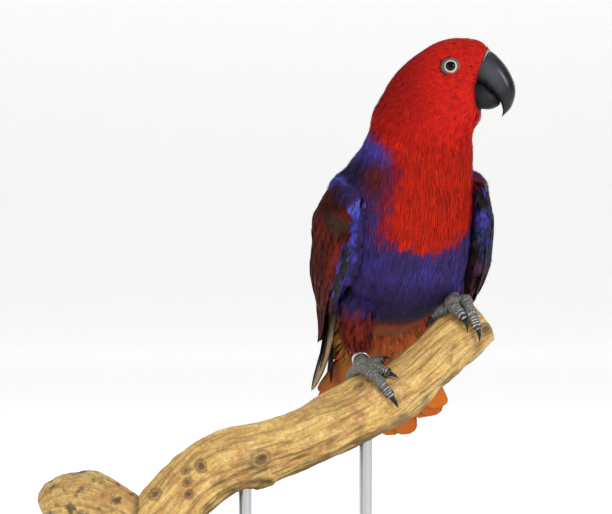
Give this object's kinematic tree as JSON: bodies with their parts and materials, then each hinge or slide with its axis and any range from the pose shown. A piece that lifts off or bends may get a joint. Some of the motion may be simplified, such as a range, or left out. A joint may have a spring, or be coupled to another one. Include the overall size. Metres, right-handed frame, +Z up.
{
  "type": "eclectus parrot",
  "caption": "Life-size still model of a female eclectus parrot, red and violet with a black bill, gripping a cut branch on a stand.",
  "frame": {"origin": "centre of the underside of the stand's base", "axes": "+Z up; +X towards the high end of the branch, to the right as the bird is seen from the front; +Y away behind the bird, towards its tail"},
  "size_m": [0.2909, 0.2358, 0.3527],
  "materials": {
    "red_plumage": "barbed contour feathers, matt",
    "violet_plumage": "barbed contour feathers, matt",
    "wing_plumage": "stiff vaned feathers with a slight sheen",
    "tail_plumage": "stiff vaned feathers with a slight sheen",
    "bill_horn": "black horn, polished on the culmen",
    "claw_horn": "black horn, glossy",
    "eye_globe": "wet, clear over a pale cream iris",
    "foot_scale": "grey scaled skin with pale scute edges",
    "band_metal": "satin",
    "branch_wood": "bare weathered wood with knots",
    "base_paint": "black satin lacquer on a wooden board",
    "rod_steel": "satin"
  },
  "bodies": {
    "root": {"head": "red_plumage", "neck": "red_plumage", "torso": "violet_plumage", "wing_right": "wing_plumage", "wing_left": "wing_plumage", "tail": "tail_plumage", "thigh_right": "violet_plumage", "thigh_left": "violet_plumage", "bill_upper": "bill_horn", "bill_lower": "bill_horn", "eye_right": "eye_globe", "eye_left": "eye_globe", "foot_right": "foot_scale", "foot_left": "foot_scale", "leg_band": "band_metal", "perch_branch": "branch_wood", "stand_base": "base_paint", "stand_rod_1": "rod_steel", "stand_rod_2": "rod_steel", "claw_right_1": "claw_horn", "claw_right_2": "claw_horn", "claw_right_3": "claw_horn", "claw_right_4": "claw_horn", "claw_left_1": "claw_horn", "claw_left_2": "claw_horn", "claw_left_3": "claw_horn", "claw_left_4": "claw_horn"}
  },
  "joints": []
}
